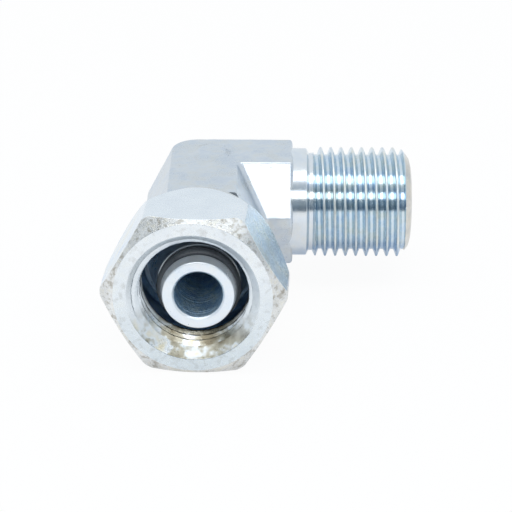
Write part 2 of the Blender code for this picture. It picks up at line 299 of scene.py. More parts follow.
def open_rims(shape):
    """The rings of points round a tube's open ends, each in order round X, sorted along X."""
    edges = {edge for edge in shape.edges if edge.is_boundary}
    rims = []
    while edges:
        ring, fresh = set(), [edges.pop()]
        while fresh:
            for vertex in fresh.pop().verts:
                ring.add(vertex)
                nearby = [edge for edge in vertex.link_edges if edge in edges]
                edges.difference_update(nearby)
                fresh += nearby
        count = len(ring)
        step = 2.0 * math.pi / count
        ring = sorted(ring, key=lambda v: round(math.atan2(v.co.z, v.co.y) / step) % count)
        rims.append(ring)
    return sorted(rims, key=lambda ring: ring[0].co.x)


def join_rings(shape, first, second, finish=0):
    """Joins two rings of as many points with a band of faces."""
    for index in range(len(first)):
        quad = (first[index - 1], first[index], second[index], second[index - 1])
        shape.faces.new(quad).material_index = finish


def carry_on(shape, ring, profile, finish=0):
    """Carries an open ring on through (along, radius) rings, and returns the last one."""
    for along, radius in profile:
        fresh = []
        for vertex in ring:
            share = radius / math.hypot(vertex.co.y, vertex.co.z)
            fresh.append(shape.verts.new((along, vertex.co.y * share, vertex.co.z * share)))
        join_rings(shape, ring, fresh, finish)
        ring = fresh
    return ring


# Node trees.

class Wiring:
    """Adds nodes to a tree and joins them in the order in which they are worked out."""

    def __init__(self, tree):
        self.tree = tree

    def add(self, kind, *values, **settings):
        """A node with its settings, and with its first inputs fed in order."""
        made = self.tree.nodes.new(kind)
        for name, value in settings.items():
            setattr(made, name, value)
        for socket, value in zip(made.inputs, values):
            self.feed(socket, value)
        return made

    def feed(self, socket, value):
        """Joins an output to the socket, or sets the socket to a plain value."""
        if isinstance(value, bpy.types.NodeSocket):
            self.tree.links.new(value, socket)
        elif value is not None:
            socket.default_value = value

    def sum(self, operation, *values):
        """What a Math node works out from these values."""
        return self.add("ShaderNodeMath", *values, operation=operation).outputs[0]


def thread_tree():
    """A tube with a thread cut round it. Sense is 1 outside and -1 inside a wall, Hand is the way
    the thread climbs, and Phase is where its first crest starts, in pitches. The two Rise inputs
    slope it down to the radius at each end.
    """
    tree = bpy.data.node_groups.new("cut_thread", "GeometryNodeTree")
    for name in (
        "Start", "Length", "Pitch", "Phase", "Crest Radius", "Depth", "Crest Share", "Root Share",
        "Softness", "Sense", "Hand", "Start Radius", "Start Rise", "End Radius", "End Rise",
    ):
        tree.interface.new_socket(name, in_out="INPUT", socket_type="NodeSocketFloat")
    for name in ("Rows", "Around"):
        tree.interface.new_socket(name, in_out="INPUT", socket_type="NodeSocketInt")
    tree.interface.new_socket("Finish", in_out="INPUT", socket_type="NodeSocketMaterial")
    tree.interface.new_socket("Thread", in_out="OUTPUT", socket_type="NodeSocketGeometry")
    wiring = Wiring(tree)
    size = tree.nodes.new("NodeGroupInput").outputs
    math_of = wiring.sum

    around = math_of("ADD", size["Around"], 1.0)
    grid = wiring.add("GeometryNodeMeshGrid", 1.0, 1.0, size["Rows"], around)
    spot = tree.nodes.new("GeometryNodeInputPosition").outputs[0]
    place = wiring.add("ShaderNodeSeparateXYZ", spot)
    share = math_of("ADD", place.outputs["X"], 0.5)
    turn = math_of("ADD", place.outputs["Y"], 0.5)
    inward = math_of("MULTIPLY", share, size["Length"])
    along = math_of("ADD", size["Start"], inward)

    pitches = math_of("DIVIDE", inward, size["Pitch"])
    climb = math_of("SUBTRACT", pitches, math_of("MULTIPLY", turn, size["Hand"]))
    place_in_pitch = math_of("FRACT", math_of("SUBTRACT", climb, size["Phase"]))
    peak = math_of("ABSOLUTE", math_of("MULTIPLY_ADD", place_in_pitch, 2.0, -1.0))
    flank = math_of("SUBTRACT", math_of("SUBTRACT", 1.0, size["Root Share"]), size["Crest Share"])
    height = math_of("DIVIDE", math_of("SUBTRACT", peak, size["Root Share"]), flank)
    height = math_of("SMOOTH_MIN", height, 1.0, size["Softness"])
    height = math_of("SMOOTH_MAX", height, 0.0, size["Softness"])

    crest = math_of("MULTIPLY", size["Crest Radius"], size["Sense"])
    root = math_of("SUBTRACT", crest, size["Depth"])
    level = math_of("MULTIPLY_ADD", height, size["Depth"], root)
    behind = math_of(
        "MULTIPLY_ADD", inward, size["Start Rise"],
        math_of("MULTIPLY", size["Start Radius"], size["Sense"]),
    )
    left = math_of("SUBTRACT", size["Length"], inward)
    ahead = math_of(
        "MULTIPLY_ADD", left, size["End Rise"],
        math_of("MULTIPLY", size["End Radius"], size["Sense"]),
    )
    soft = math_of("MULTIPLY", size["Depth"], size["Softness"])
    level = math_of("SMOOTH_MIN", math_of("SMOOTH_MIN", level, behind, soft), ahead, soft)
    radius = math_of("MULTIPLY", level, size["Sense"])

    angle = math_of("MULTIPLY", turn, 2.0 * math.pi)
    across = math_of("MULTIPLY", radius, math_of("COSINE", angle))
    up = math_of("MULTIPLY", radius, math_of("SINE", angle))
    point = wiring.add("ShaderNodeCombineXYZ", along, across, up)
    moved = wiring.add("GeometryNodeSetPosition", grid.outputs["Mesh"], None, point.outputs[0])
    merged = wiring.add("GeometryNodeMergeByDistance", moved.outputs[0])
    merged.inputs["Distance"].default_value = SAME_POINT
    real = wiring.add("GeometryNodeRealizeInstances", merged.outputs[0])
    dressed = wiring.add("GeometryNodeSetMaterial", real.outputs[0])
    wiring.feed(dressed.inputs["Material"], size["Finish"])
    wiring.feed(tree.nodes.new("NodeGroupOutput").inputs[0], dressed.outputs[0])
    return tree


def cut_thread(tree, **sizes):
    """The plain mesh that the thread tree makes from these sizes."""
    holder = bpy.data.objects.new("thread_holder", bpy.data.meshes.new("thread_holder"))
    bpy.context.scene.collection.objects.link(holder)
    step = holder.modifiers.new("thread", "NODES")
    step.node_group = tree
    for item in tree.interface.items_tree:
        key = item.name.lower().replace(" ", "_")
        if item.in_out == "INPUT" and key in sizes:
            step[item.identifier] = sizes[key]
    graph = bpy.context.evaluated_depsgraph_get()
    mesh = bpy.data.meshes.new_from_object(holder.evaluated_get(graph))
    holder.modifiers.remove(step)
    bpy.data.objects.remove(holder, do_unlink=True)
    return mesh


# Finishes.

# The plate's broad clouds, and how much of its shade and its wear is fine.
BROAD_CLOUD = 3.0 * MM
FINE_SHADE = 0.4
FINE_WEAR = 0.6
SHADE_RANGE = (0.35, 0.65)
WEAR_RANGE = (0.3, 0.7)

# Each field of clouds is cut from the same noise at a place of its own.
FINE_PLACE, FILM_PLACE, PIT_PLACE = 1.7, 5.3, 9.1

# How many millimetres along a turned line each millimetre of its radius counts for.
RADIUS_LEAD = 1.4

# Small dents: their spacing, where their edge and floor lie in a cell, the size of the patches
# that have them, and where such a patch begins and is full.
PIT_SPACING = 1.1 * MM
PIT_EDGE = (0.05, 0.16)
PIT_PATCH = 2.2 * MM
PIT_RANGE = (0.52, 0.6)

# How ragged the edge of the painted shadow is inside a bore.
BORE_SHADOW_RAGGED = 1.2 * MM

# The rubber: its colors, the size of its skin and of its dusty bloom, and its finish.
RUBBER_DARK = (0.030, 0.036, 0.042, 1.0)
RUBBER_DUSTY = (0.100, 0.110, 0.122, 1.0)
RUBBER_SKIN = 0.25 * MM
RUBBER_DEPTH = 0.01 * MM
RUBBER_BLOOM = 2.5 * MM
RUBBER_ROUGH = (0.24, 0.42)
RUBBER_IOR = 1.52

# Colors that the plate's film runs through, and those of painted shade and shadow, by how far a
# cloud, a radius, a height or a place along a bore has got.
STRAW_AND_BLUE = (
    (0.36, (0.52, 0.66, 0.90, 1.0)), (0.46, (0.84, 0.92, 1.0, 1.0)),
    (0.54, (1.0, 0.96, 0.88, 1.0)), (0.64, (1.0, 0.86, 0.60, 1.0)),
)
BROWN_AND_GREY = (
    (0.32, (0.42, 0.37, 0.29, 1.0)), (0.42, (0.74, 0.71, 0.65, 1.0)),
    (0.48, (1.0, 1.0, 1.0, 1.0)), (0.64, (1.0, 0.96, 0.86, 1.0)),
)
BROWN_AND_GOLD = (
    (0.42, (0.30, 0.25, 0.17, 1.0)), (0.50, (0.62, 0.56, 0.44, 1.0)),
    (0.55, (1.0, 1.0, 1.0, 1.0)), (0.66, (1.0, 0.86, 0.60, 1.0)),
)
STRAW = (
    (0.30, (0.80, 0.78, 0.76, 1.0)), (0.50, (1.0, 0.94, 0.84, 1.0)),
    (0.70, (1.0, 0.98, 0.96, 1.0)),
)
# Painted groove shade with a blue plating tint, from a thread's root to its crest.
GROOVE_SHADE_AND_TINT = (
    (0.0, (0.82, 0.90, 0.95, 1.0)), (0.45, (0.74, 0.83, 0.88, 1.0)),
    (0.8, (0.76, 0.83, 0.87, 1.0)), (1.0, (1.0, 0.99, 0.95, 1.0)),
)
# Painted shade: a lower side turning darker and bluer, standing in for the shadowed floor that it
# mirrors.
UNDERSIDE_PAINTED_SHADE = ((0.0, (1.0, 1.0, 1.0, 1.0)), (1.0, (0.34, 0.54, 0.80, 1.0)))
# Greyer and a little bluer towards the bottom.
GREYER_BELOW = ((0.0, (1.0, 1.0, 1.0, 1.0)), (1.0, (0.86, 0.90, 0.92, 1.0)))
# Painted shadow deep in a bore: darker and bluer where it is full, no change where it has ended.
BORE_PAINTED_SHADOW = ((0.0, (0.74, 0.84, 0.94, 1.0)), (1.0, (1.0, 1.0, 1.0, 1.0)))


def object_place(wiring, place):
    """Object coordinates measured from a place on the part, with X along its axis."""
    coordinates = wiring.add("ShaderNodeTexCoord").outputs["Object"]
    inverse = place.inverted()
    mapping = wiring.add("ShaderNodeMapping", coordinates, vector_type="POINT")
    mapping.inputs["Location"].default_value = inverse.translation
    mapping.inputs["Rotation"].default_value = inverse.to_euler()
    return mapping.outputs[0]


def plated(
    name, place, colors, rough, grain, tint, marks=(0.12 * MM, 0.0), pits=0.0,
    film=STRAW_AND_BLUE, patch=1.6 * MM, film_heights=None, hollow=None,
    lower_heights=None, lower_darkening=UNDERSIDE_PAINTED_SHADE, bore_shadow_edge=None,
):
    """Bright zinc plate, measured from a place on the part with X along its axis.

    Colors are its light and dark, rough its two roughnesses, grain the size and depth of its
    skin, marks the spacing and depth of the rings that a lathe leaves about the axis, and pits
    how deep its small dents are. Tint is how much of the cloudy film shows, patch how broad its
    clouds are, and film heights the two heights between which it comes in, where it lies on the
    lower side only. Hollow is the radius of a thread's root and of its crest, between which a
    painted groove shade with a blue plating tint changes. Lower heights are the two heights
    between which the lower side is tinted darker: painted shade on the stud and its thread, and a
    greyer bottom on the nut's face. The last two numbers are how far along X a painted shadow deep
    in a bore stays full, and where it is gone, its edge ragged.
    """
    material = bpy.data.materials.new(name)
    material.use_nodes = True
    wiring = Wiring(material.node_tree)
    shader = material.node_tree.nodes["Principled BSDF"]
    shader.inputs["Metallic"].default_value = 1.0
    point = object_place(wiring, place)
    apart = wiring.add("ShaderNodeSeparateXYZ", point).outputs

    def clouds(size, detail, offset=0.0, roughness=0.55):
        """Cloudy noise from about 0.3 to 0.7."""
        field = wiring.add("ShaderNodeTexNoise", point, noise_dimensions="4D")
        field.inputs["W"].default_value = offset
        field.inputs["Scale"].default_value = 1.0 / size
        field.inputs["Detail"].default_value = detail
        field.inputs["Roughness"].default_value = roughness
        return field.outputs[0]

    def spread(value, low, high, first=0.0, last=1.0):
        """Maps low to first and high to last, and holds the ends."""
        made = wiring.add("ShaderNodeMapRange", value, low, high, first, last)
        return made.outputs[0]

    radius = wiring.sum("SQRT", wiring.sum(
        "ADD", wiring.sum("POWER", apart["Y"], 2.0), wiring.sum("POWER", apart["Z"], 2.0)
    ))
    reach = wiring.sum("MULTIPLY_ADD", radius, RADIUS_LEAD, apart["X"])
    rings = wiring.add("ShaderNodeTexNoise", noise_dimensions="1D")
    wiring.feed(rings.inputs["W"], wiring.sum("DIVIDE", reach, marks[0]))
    rings.inputs["Scale"].default_value = 1.0
    rings.inputs["Detail"].default_value = 3.0
    rings = rings.outputs[0]

    broad = clouds(BROAD_CLOUD, 3.0)
    fine = clouds(grain[0], 4.0, FINE_PLACE, 0.6)

    def blended(fine_share):
        """The broad clouds with this share of the fine ones."""
        part = wiring.sum("MULTIPLY", fine, fine_share)
        return wiring.sum("MULTIPLY_ADD", broad, 1.0 - fine_share, part)

    shade = spread(blended(FINE_SHADE), *SHADE_RANGE)
    base = wiring.add("ShaderNodeMix", shade, data_type="RGBA")
    base.inputs["A"].default_value = (*colors[1], 1.0)
    base.inputs["B"].default_value = (*colors[0], 1.0)

    def tinted(color, share, stops, strength=1.0):
        """Multiplies the color by the color that its stops give at a share."""
        ramp = wiring.add("ShaderNodeValToRGB", share)
        first, last = ramp.color_ramp.elements
        (first.position, first.color), (last.position, last.color) = stops[0], stops[-1]
        for position, middle in stops[1:-1]:
            ramp.color_ramp.elements.new(position).color = middle
        made = wiring.add("ShaderNodeMix", strength, data_type="RGBA", blend_type="MULTIPLY")
        wiring.feed(made.inputs["A"], color)
        wiring.feed(made.inputs["B"], ramp.outputs["Color"])
        return made.outputs["Result"]

    strength = spread(apart["Z"], *film_heights, 0.0, tint) if film_heights else tint
    color = tinted(base.outputs["Result"], clouds(patch, 3.5, FILM_PLACE), film, strength)
    # Painted groove shade with a plating tint: darker and bluer towards a thread's root.
    if hollow:
        color = tinted(color, spread(radius, *hollow), GROOVE_SHADE_AND_TINT)
    # The lower side tinted darker between the lower heights: painted shade on the stud and its
    # thread, a greyer bottom on the nut's face.
    if lower_heights:
        color = tinted(color, spread(apart["Z"], *lower_heights), lower_darkening)
    # Painted shadow deep in a bore, with a ragged edge.
    if bore_shadow_edge:
        edge = wiring.sum("MULTIPLY_ADD", broad, BORE_SHADOW_RAGGED, apart["X"])
        color = tinted(color, spread(edge, *bore_shadow_edge), BORE_PAINTED_SHADOW)
    wiring.feed(shader.inputs["Base Color"], color)

    wear = spread(blended(FINE_WEAR), *WEAR_RANGE, *rough)
    if hollow:
        worn = spread(radius, hollow[1] - CREST_WEAR, hollow[1], 0.0, CREST_ROUGHER)
        wear = wiring.sum("ADD", wear, worn)
    wiring.feed(shader.inputs["Roughness"], wear)

    cells = wiring.add("ShaderNodeTexVoronoi", point)
    cells.inputs["Scale"].default_value = 1.0 / PIT_SPACING
    cells.inputs["Randomness"].default_value = 1.0
    dents = spread(cells.outputs["Distance"], *PIT_EDGE, -1.0, 0.0)
    some = spread(clouds(PIT_PATCH, 1.0, PIT_PLACE), *PIT_RANGE)
    dents = wiring.sum("MULTIPLY", dents, some)
    height = wiring.sum("MULTIPLY", fine, grain[1])
    height = wiring.sum("MULTIPLY_ADD", rings, marks[1], height)
    height = wiring.sum("MULTIPLY_ADD", dents, pits, height)
    bump = wiring.add("ShaderNodeBump")
    bump.inputs["Strength"].default_value = 1.0
    bump.inputs["Distance"].default_value = 1.0
    wiring.feed(bump.inputs["Height"], height)
    wiring.feed(shader.inputs["Normal"], bump.outputs[0])
    return material


def rubber(name, place):
    """Moulded black rubber with a dusty bloom and a fine matt skin."""
    material = bpy.data.materials.new(name)
    material.use_nodes = True
    wiring = Wiring(material.node_tree)
    shader = material.node_tree.nodes["Principled BSDF"]
    shader.inputs["IOR"].default_value = RUBBER_IOR
    point = object_place(wiring, place)
    skin = wiring.add("ShaderNodeTexNoise", point)
    skin.inputs["Scale"].default_value = 1.0 / RUBBER_SKIN
    skin.inputs["Detail"].default_value = 4.0
    bloom = wiring.add("ShaderNodeTexNoise", point)
    bloom.inputs["Scale"].default_value = 1.0 / RUBBER_BLOOM
    color = wiring.add("ShaderNodeMix", bloom.outputs[0], data_type="RGBA")
    color.inputs["A"].default_value = RUBBER_DARK
    color.inputs["B"].default_value = RUBBER_DUSTY
    wiring.feed(shader.inputs["Base Color"], color.outputs["Result"])
    rough = wiring.add("ShaderNodeMapRange", skin.outputs[0], *WEAR_RANGE, *RUBBER_ROUGH)
    wiring.feed(shader.inputs["Roughness"], rough.outputs[0])
    bump = wiring.add("ShaderNodeBump")
    bump.inputs["Distance"].default_value = RUBBER_DEPTH
    wiring.feed(bump.inputs["Height"], skin.outputs[0])
    wiring.feed(shader.inputs["Normal"], bump.outputs[0])
    return material


def finishes(body_place, nose_place, nut_place):
    """The zinc plate of the part, by the surfaces that it covers."""
    stud_crest = STUD_DIAMETER / 2.0
    return {
        "forged": plated(
            "forged_zinc", body_place, colors=((0.73, 0.76, 0.79), (0.64, 0.68, 0.72)),
            rough=(0.24, 0.36), grain=(0.30 * MM, 0.008 * MM), tint=0.16, pits=0.012 * MM,
        ),
        "turned stud": plated(
            "turned_zinc_stud", body_place, colors=((0.84, 0.86, 0.88), (0.76, 0.80, 0.84)),
            rough=(0.12, 0.22), grain=(0.30 * MM, 0.002 * MM), tint=0.12,
            # Painted shade: the stud's lower side darker and bluer.
            marks=(0.10 * MM, 0.002 * MM), lower_heights=(-4.5 * MM, -7.5 * MM),
        ),
        "rolled": plated(
            "rolled_zinc_thread", body_place, colors=((0.90, 0.92, 0.94), (0.78, 0.82, 0.85)),
            rough=(0.10, 0.20), grain=(0.30 * MM, 0.003 * MM), tint=0.25,
            # Painted groove shade with a plating tint in the thread's grooves.
            hollow=(stud_crest - STUD_THREAD_DEPTH, stud_crest),
            # Painted shade: the thread's lower side darker and bluer.
            lower_heights=(-3.6 * MM, -7.4 * MM),
        ),
        "straw end": plated(
            "straw_zinc_end", body_place, colors=((0.80, 0.80, 0.80), (0.62, 0.62, 0.62)),
            rough=(0.16, 0.28), grain=(0.30 * MM, 0.003 * MM), tint=1.0,
            marks=(0.10 * MM, 0.003 * MM), film=STRAW, patch=2.4 * MM,
        ),
        "turned nose": plated(
            "turned_zinc_nose", nose_place, colors=((0.92, 0.95, 0.98), (0.84, 0.89, 0.94)),
            rough=(0.24, 0.36), grain=(0.30 * MM, 0.002 * MM), tint=0.10,
            marks=(0.10 * MM, 0.003 * MM),
        ),
        "drilled": plated(
            "drilled_zinc", nose_place, colors=((0.92, 1.0, 1.0), (0.36, 0.60, 0.84)),
            rough=(0.36, 0.58), grain=(0.42 * MM, 0.30 * MM), tint=0.20,
            marks=(0.45 * MM, 0.24 * MM),
            # Painted shadow: the bore darker and bluer from about 8.2 to 9 mm in from the tip
            # onwards, where its rim shades it.
            bore_shadow_edge=(NOSE_REACH - 9.0 * MM, NOSE_REACH - 8.2 * MM),
        ),
        "flats": plated(
            "drawn_zinc_flats", nut_place, colors=((0.90, 0.93, 0.95), (0.81, 0.85, 0.89)),
            rough=(0.20, 0.32), grain=(0.25 * MM, 0.005 * MM), tint=0.35, pits=0.03 * MM,
            patch=3.0 * MM, film_heights=(9.6 * MM, 7.0 * MM),
        ),
        "face": plated(
            "faced_zinc", nut_place, colors=((0.94, 0.96, 0.97), (0.82, 0.85, 0.88)),
            rough=(0.20, 0.32), grain=(0.20 * MM, 0.005 * MM), tint=0.26,
            marks=(0.10 * MM, 0.003 * MM), pits=0.012 * MM, film=BROWN_AND_GREY,
            # The front face turns greyer and a little bluer towards its bottom.
            patch=0.9 * MM, lower_heights=(4.0 * MM, -9.0 * MM), lower_darkening=GREYER_BELOW,
        ),
        "chamfer": plated(
            "rough_chamfer", nut_place, colors=((0.94, 0.94, 0.94), (0.64, 0.64, 0.63)),
            rough=(0.20, 0.40), grain=(0.16 * MM, 0.028 * MM), tint=0.75,
            marks=(0.15 * MM, 0.006 * MM), film=BROWN_AND_GREY, patch=0.8 * MM,
        ),
        "taper": plated(
            "rough_taper", nut_place, colors=((0.92, 0.92, 0.91), (0.66, 0.67, 0.67)),
            rough=(0.22, 0.38), grain=(0.20 * MM, 0.018 * MM), tint=0.6,
            marks=(0.15 * MM, 0.004 * MM), film=BROWN_AND_GREY, patch=0.9 * MM,
        ),
        "thread": plated(
            "tapped_zinc", nut_place, colors=((0.94, 0.97, 0.99), (0.78, 0.82, 0.85)),
            rough=(0.22, 0.40), grain=(0.25 * MM, 0.005 * MM), tint=1.0,
            marks=(0.10 * MM, 0.003 * MM), film=BROWN_AND_GOLD, patch=3.6 * MM,
            film_heights=(-2.0 * MM, -6.5 * MM),
        ),
        "relief": plated(
            "turned_relief", nut_place, colors=((0.60, 0.80, 1.0), (0.42, 0.60, 0.80)),
            rough=(0.26, 0.40), grain=(0.25 * MM, 0.005 * MM), tint=0.2,
            marks=(0.20 * MM, 0.006 * MM),
        ),
    }


# The body.

def half_section():
    """The block's section on one side, from the middle of the top to the middle of the base."""
    half_height, half_band = BODY_HEIGHT / 2.0, PARTING_BAND / 2.0
    flat, wide = FLAT_WIDTH / 2.0, BODY_WIDTH / 2.0
    return eased([
        (0.0, half_height, 0.0),
        (flat, half_height, EDGE_ROUND),
        (wide, half_band, BAND_ROUND),
        (wide, -half_band, BAND_ROUND),
        (flat, -half_height, EDGE_ROUND),
        (0.0, -half_height, 0.0),
    ], steps=4)


def inner_line(station, width):
    """A point on the throat side of the elbow. Station runs over its nose leg from 0 to 1,
    its corner to 2 and its stud leg to 3.
    """
    corner = width + THROAT_FILLET
    if station <= 1.0:
        return Vector((width, -NOSE_LEG + station * (NOSE_LEG - corner)))
    if station <= 2.0:
        angle = math.radians(180.0 - 90.0 * (station - 1.0))
        return Vector((
            corner + THROAT_FILLET * math.cos(angle), -corner + THROAT_FILLET * math.sin(angle)
        ))
    return Vector((corner + (station - 2.0) * (STUD_LEG - corner), -width))


def outer_line(station, width):
    """A point on the heel side of the elbow, at the same stations."""
    heel = width - HEEL_CENTER
    if station <= 1.0:
        return Vector((-width, -NOSE_LEG + station * (NOSE_LEG + HEEL_CENTER)))
    if station <= 2.0:
        angle = math.radians(180.0 - 90.0 * (station - 1.0))
        return Vector((
            -HEEL_CENTER + heel * math.cos(angle), HEEL_CENTER + heel * math.sin(angle)
        ))
    return Vector((-HEEL_CENTER + (station - 2.0) * (STUD_LEG + HEEL_CENTER), width))


def pad_height(point):
    """How far the plain oval pad over the heel stands proud at a point of the top."""
    across = (point.x - PAD_CENTER[0]) / PAD_HALF[0]
    along = (point.y - PAD_CENTER[1]) / PAD_HALF[1]
    share = (1.0 - math.hypot(across, along)) / PAD_SLOPE
    share = min(max(share, 0.0), 1.0)
    return PAD_HEIGHT * share * share * (3.0 - 2.0 * share)


def drawn_in(spot, z):
    """How much narrower the section is near the rounded end of the stud's leg."""
    reach, drop = STUD_END_ROUND
    share = min(max(1.0 - (STUD_LEG - spot.x) / reach, 0.0), 1.0)
    return 1.0 - drop * (1.0 - math.sqrt(1.0 - share * share)) / math.hypot(spot.y, z)


def forged_block(place, materials):
    """The forging: one section carried round the elbow, with a forged skin."""
    half = divided(half_section(), SECTION_STEP)
    flat = FLAT_WIDTH / 2.0 - EDGE_ROUND
    loop = [(width, z) for width, z in half] + [(-width, z) for width, z in reversed(half[1:-1])]
    stations = [step / NOSE_LEG_STEPS for step in range(NOSE_LEG_STEPS + 1)]
    stations += [1.0 + step / CORNER_STEPS for step in range(1, CORNER_STEPS + 1)]
    stations += [2.0 + step / STUD_LEG_STEPS for step in range(1, STUD_LEG_STEPS)]
    stations += STUD_END_STATIONS
    shape = bmesh.new()
    rings = []
    for station in stations:
        ring = []
        for width, z in loop:
            if abs(width) <= flat:
                inside, outside = inner_line(station, flat), outer_line(station, flat)
                spot = outside.lerp(inside, (width / flat + 1.0) / 2.0)
            elif width > 0.0:
                spot = inner_line(station, width)
            else:
                spot = outer_line(station, -width)
            rise = pad_height(spot) if z > BODY_HEIGHT / 2.0 - PAD_MARGIN else 0.0
            narrow = drawn_in(spot, z) if station > 2.0 else 1.0
            ring.append(shape.verts.new((spot.x, spot.y * narrow, z * narrow + rise)))
        rings.append(ring)
    for here, after in zip(rings, rings[1:]):
        for index in range(len(loop)):
            nxt = (index + 1) % len(loop)
            shape.faces.new((here[index], here[nxt], after[nxt], after[index]))
    bmesh.ops.recalc_face_normals(shape, faces=shape.faces)
    shape.normal_update()
    for ring in rings[1:-1]:
        moves = []
        for vertex in ring:
            spot = vertex.co / SKIN_SIZE
            skin = noise.noise(spot)
            skin += SKIN_FINE_SHARE * noise.noise(spot * SKIN_FINER + SKIN_OFFSET)
            moves.append(vertex.normal * (skin * SKIN_DEPTH))
        for vertex, move in zip(ring, moves):
            vertex.co += move
    shape.from_mesh(drilled_ways())
    for axis, end in ((1, -NOSE_LEG), (0, STUD_LEG)):
        mouths = [
            face for face in shape.faces
            if all(abs(vertex.co[axis] - end) < IN_PLANE for vertex in face.verts)
        ]
        bmesh.ops.delete(shape, geom=mouths, context="FACES_ONLY")
        rims = [
            edge for edge in shape.edges
            if edge.is_boundary and all(abs(v.co[axis] - end) < IN_PLANE for v in edge.verts)
        ]
        bmesh.ops.triangle_fill(shape, edges=rims, use_beauty=True)
    return finished_piece("forged_block", shape, place, materials)


def drilled_ways():
    """The space inside the block: a bore from each end until they meet, each opened wider
    where a turned end is let in.
    """
    wide = NECK_DIAMETER / 2.0 - NECK_WALL
    ways = []
    for name, turn, leg in (("nose_way", -90.0, NOSE_LEG), ("stud_way", 0.0, STUD_LEG)):
        seat = leg - SEAT_DEPTH - SEAT_GAP
        profile = [*DRILL_POINT, (seat, BORE / 2.0), (seat, wide), (leg, wide)]
        shape = bmesh.new()
        revolve(shape, profile, DRILL_AROUND)
        for ring in open_rims(shape):
            shape.faces.new(ring)
        ways.append(finished_piece(name, shape, Matrix.Rotation(math.radians(turn), 4, "Z"), []))
    step = ways[0].modifiers.new("meeting", "BOOLEAN")
    step.operation, step.object, step.solver = "UNION", ways[1], "EXACT"
    graph = bpy.context.evaluated_depsgraph_get()
    mesh = bpy.data.meshes.new_from_object(ways[0].evaluated_get(graph))
    for way in ways:
        bpy.data.objects.remove(way, do_unlink=True)
    return mesh


def threaded_stud(place, tree, materials):
    """Shank, run-out groove, thread, end chamfer and bore."""
    start = STUD_LEG + SHANK_LENGTH + RUNOUT_LENGTH
    end = STUD_LEG + STUD_LENGTH
    length = end - END_ROUND - start
    crest, runout, shank = STUD_DIAMETER / 2.0, RUNOUT_DIAMETER / 2.0, SHANK_DIAMETER / 2.0
    face, bore = END_FACE_DIAMETER / 2.0, BORE / 2.0
    end_radius = END_CHAMFER_DIAMETER / 2.0
    mesh = cut_thread(
        tree, start=start, length=length, pitch=STUD_PITCH, phase=STUD_THREAD_PHASE,
        crest_radius=crest, depth=STUD_THREAD_DEPTH, crest_share=STUD_THREAD_SHARES[0],
        root_share=STUD_THREAD_SHARES[1], softness=STUD_THREAD_SOFTNESS, sense=1.0, hand=1.0,
        start_radius=runout, start_rise=RUNOUT_RISE, end_radius=end_radius,
        end_rise=(crest - end_radius) / END_CHAMFER,
        rows=round(length / STUD_PITCH * THREAD_ROWS), around=AROUND, finish=materials[ROLLED],
    )
    shape = bmesh.new()
    shape.from_mesh(mesh)
    for quad in shape.faces:
        near_end = quad.calc_center_median().x > end - STRAW_BAND
        quad.material_index = STRAW_END if near_end else ROLLED
    back, front = open_rims(shape)
    slope = (shank - runout) / RUNOUT_RISE
    shoulder = start - RUNOUT_LENGTH
    behind = eased([
        (start, runout, 0.0),
        (shoulder + slope, runout, FINE_ROUND),
        (shoulder, shank, FINE_ROUND),
        (STUD_LEG - SEAT_DEPTH, shank, 0.0),
    ])
    behind += [Vector((STUD_LEG - SEAT_DEPTH, bore))]
    ahead = eased([
        (end - END_ROUND, end_radius, 0.0),
        (end - END_DOME_DROP, end_radius - END_DOME_INSET, END_DOME_ROUND),
        (end, face, END_FACE_ROUND),
        (end, bore + BORE_EDGE, BORE_BREAK),
        (end - BORE_EDGE, bore, BORE_BREAK),
    ])
    carry_on(shape, back, divided(behind, FINE_STEP)[1:], TURNED)
    edge = carry_on(shape, front, divided(ahead, COARSE_STEP)[1:], STRAW_END)
    way = divided([ahead[-1], Vector((STUD_LEG - SEAT_DEPTH, bore))], COARSE_STEP)
    carry_on(shape, edge, way[1:], TURNED)
    return finished_piece("threaded_stud", shape, place, materials)


def nose_radius(behind_tip):
    """The sealing cone's radius at a place behind the tip."""
    return NOSE_TIP_DIAMETER / 2.0 + behind_tip * NOSE_TAPER


def sealing_nose(place, materials):
    """Neck, collar, sealing cone, groove and bore, with every edge just broken."""
    bore, neck, collar = BORE / 2.0, NECK_DIAMETER / 2.0, COLLAR_DIAMETER / 2.0
    cone_end = NOSE_REACH - CONE_LENGTH
    collar_start = cone_end - COLLAR_LENGTH
    rear, front = NOSE_REACH - GROOVE_BACK - GROOVE_WIDTH, NOSE_REACH - GROOVE_BACK
    floor = GROOVE_FLOOR_DIAMETER / 2.0
    base = NOSE_LEG - SEAT_DEPTH
    outside = eased([
        (base, neck, 0.0),
        (collar_start, neck, NECK_ROUND),
        (collar_start, collar, COLLAR_ROUND),
        (cone_end, collar, COLLAR_ROUND),
        (cone_end, nose_radius(CONE_LENGTH), CONE_FOOT_ROUND),
        (rear, nose_radius(NOSE_REACH - rear), GROOVE_EDGE_ROUND),
        (rear, floor, FINE_ROUND),
        (front, floor, FINE_ROUND),
        (front, nose_radius(NOSE_REACH - front), GROOVE_EDGE_ROUND),
        (NOSE_REACH, nose_radius(0.0), TIP_ROUND),
        (NOSE_REACH, bore + BORE_EDGE, TIP_BREAK),
        (NOSE_REACH - BORE_EDGE, bore, TIP_BREAK),
        (base, bore, 0.0),
    ])
    profile = divided(outside, NOSE_STEP)
    shape = bmesh.new()
    revolve(shape, profile, NOSE_AROUND, closed=True)
    for face in shape.faces:
        drilled = all(math.hypot(v.co.y, v.co.z) < bore + BORE_MARGIN for v in face.verts)
        face.material_index = DRILLED if drilled else OUTSIDE
    return finished_piece("sealing_nose", shape, place, materials)


